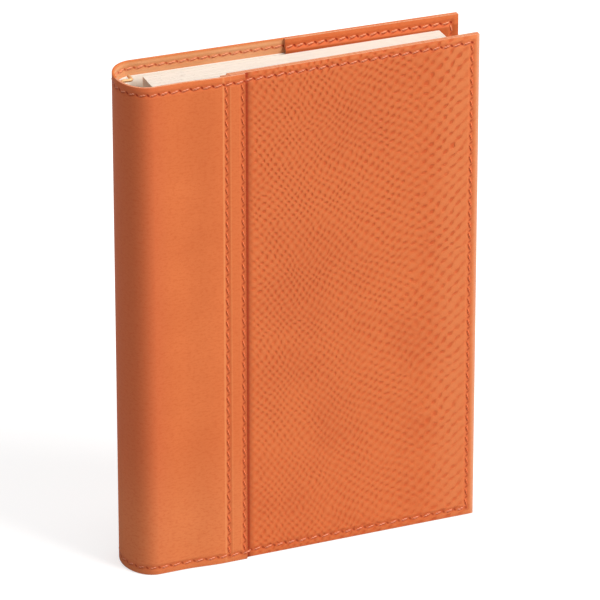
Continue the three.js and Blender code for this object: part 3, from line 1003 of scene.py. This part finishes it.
def cover_stitch(side, travel, height, depth, outer=True, upright=False):
    """A stitch on a cover, on its outer face or its inner face."""
    along, outward = cover_directions(side)
    x = SPINE_DEPTH + (travel - QUARTER) * math.cos(TILT)
    point = cover_point(side, x, depth + THREAD_SINK if outer else depth - THREAD_SINK)
    direction = Vector((0, 0, 1)) if upright else along
    finish = (upright_thread_finish if upright else lit_level_thread_finish) if outer else inner_thread_finish
    return stitch_at(point, height, direction, outward if outer else -outward, finish)


def spine_stitch(side, travel, height, depth, outer=True):
    """A stitch on the spine's round, outside or inside."""
    turn = turn_at(travel)
    before, after = spine_point(side * (turn - 1), depth), spine_point(side * (turn + 1), depth)
    along = (after - before).normalized().to_3d()
    inward = (spine_point(side * turn, 1) - spine_point(side * turn)).normalized().to_3d()
    point = spine_point(side * turn, depth + ROUND_SINK if outer else depth - THREAD_SINK)
    finish = lit_level_thread_finish if outer else inner_thread_finish
    return stitch_at(point, height, along, -inward if outer else inward, finish)


def front_surface(travel):
    """How far out the front's leather reaches at a distance along it."""
    if travel > travel_at(WRAP_EDGE) + 0.4:
        return 0
    return -LAP_LIFT * eased((travel - travel_at(LAP_RISE_START)) / (PANEL_EDGE - LAP_RISE_START))


def level_places(round_spine):
    """Travel and height of the level rows' stitches, round the spine or on a cover."""
    return [(travel, height) for height, pitch in LEVEL_PITCHES for travel in centres(0, FORE_ROW, pitch)
            if (travel < QUARTER) == round_spine]


def edge_rows(side, pocket_edge):
    """The edge seam's stitches on a cover: outside, and inside on the leather's back and the pocket."""
    made = []
    for travel, height in level_places(False):
        made.append(cover_stitch(side, travel, height, front_surface(travel) if side == FRONT else 0))
        inner_depth = SEWN_DEPTH + POCKET_SHEET if travel > travel_at(pocket_edge) else LEATHER
        made.append(cover_stitch(side, travel, height, inner_depth, outer=False))
    for height in centres(BOTTOM_ROW, TOP_ROW, VERTICAL_PITCH):
        made.append(cover_stitch(side, FORE_ROW, height, 0, upright=True))
        made.append(cover_stitch(side, FORE_ROW, height, SEWN_DEPTH + POCKET_SHEET, outer=False, upright=True))
    return made


def round_rows(side):
    """The edge seam's stitches round half of the spine, outside and inside."""
    made = []
    for travel, height in level_places(True):
        made.append(spine_stitch(side, travel, height, 0))
        made.append(spine_stitch(side, travel, height, LEATHER, outer=False))
    return made


def lap_row(x):
    heights = centres(BOTTOM_ROW, TOP_ROW, VERTICAL_PITCH)
    return [cover_stitch(FRONT, travel_at(x), height, -LAP_LIFT, upright=True) for height in heights]


for name, made, node, body in (
        ("edge_stitches_front", edge_rows(FRONT, FRONT_POCKET_EDGE), "thread_front_rim", "front_cover"),
        ("edge_stitches_back", edge_rows(BACK, BACK_POCKET_EDGE), "thread_back_rim", "back_cover"),
        ("lap_stitches_inner", lap_row(INNER_SEAM_X), "thread_seam_inner", "front_cover"),
        ("lap_stitches_outer", lap_row(OUTER_SEAM_X), "thread_seam_outer", "front_cover")):
    row = join(made, name)
    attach(row, body)
    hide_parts(node)

for name, side in (("spine_stitches_front", FRONT), ("spine_stitches_back", BACK)):
    row = join(round_rows(side), name)
    bend(row)
    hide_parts("thread_spine_bottom", "thread_spine_top")

bpy.data.objects.remove(STITCH)


# The block's card cover, leaves and coil

CARD_CORNER = 1.2
CARD_STEP = 10


def card_half(name, side):
    """Half of the card cover: it lines the spine and runs on into the pocket."""
    outline = spine_outline(side, CARD_DEPTH)
    outline += cover_outline(side, [(SPINE_DEPTH, CARD_DEPTH), (CARD_END_X, CARD_DEPTH)])[1:]
    sheet = upright_sheet(name, outline, BLOCK_BOTTOM, CARD_TOP, levels(CARD_STEP, BLOCK_BOTTOM, CARD_TOP))
    edit(sheet)
    end, low, high = place(CARD_END_X, 0, 0).x, (BLOCK_BOTTOM + 0.1) * MM, (CARD_TOP - 0.1) * MM
    pick(sheet, "verts", lambda co: co.x > end - 1e-5 and not low <= co.z <= high)
    bpy.ops.mesh.bevel(offset=CARD_CORNER * MM, segments=4, affect="VERTICES")
    done()
    face_towards(sheet, Vector((0, side, 0)))
    thicken(sheet, CARD, (card_finish,) * 3, CARD_ROUNDING, on_spine_line)
    return sheet


for name, side, node in (("card_cover_front", FRONT, "card_front"), ("card_cover_back", BACK, "card_back")):
    card = card_half(name, side)
    bend(card)
    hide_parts(node, "card_spine")


SHEETS_PER_BUNDLE = 12
SHEET_GAP = 0.012
HOLE_CORNER = 0.5
LEAF_CORNER = 0.8
# How far a leaf lies back from its bundle's edge and from its top, in millimetres
SLIP_BACK = (-0.16, 0)
SLIP_DOWN = (-0.1, 0)


def levels_inside(node, axis, margin):
    """Where a bundle's solid has points along an axis, without its two ends."""
    low, high = (corner[axis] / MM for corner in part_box(node))
    found = sorted({round(vertex.co[axis] / MM, 3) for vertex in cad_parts[node].data.vertices})
    return [level for level in found if low + margin < level < high - margin]


def punched_sheet(node):
    """One flat leaf of a bundle with its row of holes, standing at a Y of zero."""
    low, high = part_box(node)
    middle, width, height = (low + high) / 2, high.x - low.x, high.z - low.z
    bpy.ops.mesh.primitive_plane_add(size=1, rotation=(math.pi / 2, 0, 0), location=(middle.x, 0, middle.z))
    sheet = newest("leaf")
    sheet.scale = (width, height, 1)
    settle(sheet)
    columns, rows = levels_inside(node, 0, 0.2), levels_inside(node, 2, 0.5)
    near, far = columns[0] * MM, columns[-1] * MM
    edit(sheet)
    for x in (near, far):
        pick_all()
        bpy.ops.mesh.bisect(plane_co=(x, 0, 0), plane_no=(1, 0, 0))
    for z in rows:
        pick(sheet, "faces", lambda face: near < face.calc_center_median().x < far)
        bpy.ops.mesh.bisect(plane_co=(0, 0, z * MM), plane_no=(0, 0, 1))
    bpy.ops.mesh.select_mode(type="FACE")

    def in_hole(face):
        centre = face.calc_center_median()
        return near < centre.x < far and any(a * MM < centre.z < b * MM for a, b in zip(rows[0::2], rows[1::2]))

    pick(sheet, "faces", in_hole)
    bpy.ops.mesh.delete(type="FACE")
    bpy.ops.mesh.select_mode(type="VERT")

    def on_hole(co):
        return min(abs(co.x - near), abs(co.x - far)) < 1e-6 and low.z + 1e-5 < co.z < high.z - 1e-5

    def on_corner(co):
        return co.x > high.x - 1e-6 and not low.z + 1e-6 <= co.z <= high.z - 1e-6

    for wanted, size in ((on_hole, HOLE_CORNER), (on_corner, LEAF_CORNER)):
        pick(sheet, "verts", wanted)
        bpy.ops.mesh.bevel(offset=size * MM, segments=3, affect="VERTICES")
    done()
    return sheet


def sheet_bundle(name, node):
    """A bundle of separate leaves, none quite flush with the next."""
    low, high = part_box(node)
    each = (high.y - low.y) / SHEETS_PER_BUNDLE
    first = punched_sheet(node)
    solidify(first, each - SHEET_GAP * MM, 0)
    first.data.materials.append(page_finish)
    leaves = []
    for i in range(SHEETS_PER_BUNDLE):
        leaf = copy_of(first)
        slip_x, slip_z = shuffle.uniform(*SLIP_BACK), shuffle.uniform(*SLIP_DOWN)
        leaf.location = (slip_x * MM, low.y + each * (i + 0.5), slip_z * MM)
        leaves.append(leaf)
    bpy.data.objects.remove(first)
    return join(leaves, name)


for side_name in ("front", "back"):
    for number in range(1, 5):
        node = f"leaves_{side_name}_{number}"
        bundle = sheet_bundle(f"pages_{side_name}_{number}", node)
        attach(bundle, node)
        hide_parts(node)


COIL_STEP = 15
HOOK_ROOM = 0.3
HOOK_RADIUS = 1


def coil_route():
    """The coil's middle line with its two hooked ends, in millimetres."""
    def on_coil(turn):
        angle = math.radians(turn)
        height = COIL_MIDDLE + COIL_PITCH * (turn / 360 - COIL_TURNS / 2)
        return Vector((COIL_X + COIL_RADIUS * math.cos(angle), COIL_RADIUS * math.sin(angle), height))

    count = int((360 * COIL_TURNS + 2 * HOOK_START) / COIL_STEP)
    route = [on_coil(COIL_STEP * i - HOOK_START) for i in range(count + 1)]
    clear = WIRE / 2 + HOOK_ROOM

    def hook(start, height, side):
        riser = Vector((start.x + WIRE / 4, start.y, height))
        inner = Vector((start.x + HOOK_IN, start.y - side * WIRE / 4, height))
        tip = Vector((inner.x, inner.y + side * HOOK_TIP, height))
        return [start, riser, inner, tip]

    def rounded(corners, steps=5):
        made = [corners[0]]
        for before, corner, after in zip(corners, corners[1:], corners[2:]):
            reach = min(HOOK_RADIUS, (before - corner).length / 2, (after - corner).length / 2)
            a = corner + (before - corner).normalized() * reach
            b = corner + (after - corner).normalized() * reach
            for i in range(steps + 1):
                t = i / steps
                made.append(a * (1 - t) ** 2 + corner * 2 * t * (1 - t) + b * t ** 2)
        made.append(corners[-1])
        return made

    top = rounded([route[-2]] + hook(route[-1], BLOCK_TOP + clear, 1))[1:]
    bottom = rounded([route[1]] + hook(route[0], BLOCK_BOTTOM - clear, -1))[1:]
    return list(reversed(bottom)) + route[1:-1] + top


def wire_coil():
    route = coil_route()
    bpy.ops.curve.primitive_nurbs_path_add()
    wire = newest("wire_coil")
    wire.data.splines.remove(wire.data.splines[0])
    line = wire.data.splines.new("POLY")
    line.points.add(len(route) - 1)
    for point, target in zip(line.points, route):
        point.co = (*place(target.x, target.y, target.z), 1)
    wire.data.dimensions = "3D"
    wire.data.bevel_depth = WIRE / 2 * MM
    wire.data.bevel_resolution = 2
    wire.data.use_fill_caps = True
    take(wire)
    bpy.ops.object.convert(target="MESH")
    wire = bpy.context.object
    settle(wire)
    edit(wire)
    pick_all()
    bpy.ops.mesh.remove_doubles(threshold=1e-6)
    bpy.ops.mesh.normals_make_consistent(inside=False)
    done()
    wire.data.materials.clear()
    wire.data.materials.append(coil_finish)
    smooth(wire, 60)
    return wire


coil = wire_coil()
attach(coil, "spine")
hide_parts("coil")


# Floor, light and camera

WHITE = (1, 1, 1, 1)
# How much the floor is lifted towards white, for the camera only
FLOOR_LIFT = 0.62
# The light that comes from all sides; the camera and reflections show full white
AMBIENT = 0.27


def pale_floor():
    finish = Finish("pale_floor")
    finish.on_object()
    clouds = finish.noise(3, 2)
    color = finish.mix(clouds, (0.6, 0.6, 0.6, 1), (0.64, 0.64, 0.64, 1))
    seen = Pattern(finish, finish.node("ShaderNodeLightPath").outputs["Is Camera Ray"])
    shader = finish.node(
        "ShaderNodeBsdfPrincipled", Base_Color=color, Roughness=0.9, Specular_IOR_Level=0.1,
        Emission_Color=WHITE, Emission_Strength=seen * FLOOR_LIFT)
    finish.node("ShaderNodeOutputMaterial", Surface=shader.outputs[0])
    bpy.ops.mesh.primitive_plane_add(size=12, location=(0, 0, -0.0002))
    floor = newest("floor")
    floor.data.materials.append(finish.material)
    return floor


deselect()
floor = pale_floor()

world = bpy.data.worlds.new("studio")
bpy.context.scene.world = world
world.use_nodes = True
sky = Nodes(world.node_tree)
path = sky.node("ShaderNodeLightPath").outputs
mirrored = sky.greatest(path["Is Glossy Ray"], path["Is Transmission Ray"])
level = sky.mix(sky.greatest(path["Is Camera Ray"], mirrored), AMBIENT, 1, "FLOAT")
background = sky.node("ShaderNodeBackground", Color=WHITE, Strength=level)
sky.node("ShaderNodeOutputWorld", Surface=background.outputs[0])


def seen_from(azimuth, elevation):
    """The direction from the planner to a place. Azimuth 0 is in front, and positive to the right."""
    a, e = math.radians(azimuth), math.radians(elevation)
    return Vector((math.sin(a) * math.cos(e), -math.cos(a) * math.cos(e), math.sin(e)))


def turn_back(thing, direction):
    thing.rotation_euler = (-direction).to_track_quat("-Z", "Y").to_euler()


def soft_lamp(name, azimuth, elevation, distance, size, power, color):
    """A square lamp aimed at the planner."""
    direction = seen_from(azimuth, elevation)
    bpy.ops.object.light_add(type="AREA", location=Vector((0, 0, JACKET_HEIGHT / 2 * MM)) + direction * distance)
    lamp = newest(name)
    turn_back(lamp, direction)
    lamp.data.shape = "SQUARE"
    lamp.data.size = size
    lamp.data.energy = power
    lamp.data.color = color


soft_lamp("key_lamp", 43, 38, 3.4, 1.7, 109, (1, 0.99, 0.97))
soft_lamp("top_lamp", 0, 89, 3, 0.9, 24, (1, 1, 1))

CAMERA_SIDE = seen_from(-21.43, 25.87)
CAMERA_REACH = 1721.6
CAMERA_FOCUS = 5819.3
PHOTO_WIDTH = 600
SENSOR = 36
bpy.ops.object.camera_add(location=place(57.15, 0, 77.15) + CAMERA_SIDE * CAMERA_REACH * MM)
camera = bpy.context.object
turn_back(camera, CAMERA_SIDE)
camera.data.sensor_width = SENSOR
camera.data.lens = SENSOR * CAMERA_FOCUS / PHOTO_WIDTH
camera.data.clip_end = 100
bpy.context.scene.camera = camera

bpy.context.scene.view_settings.view_transform = "Standard"
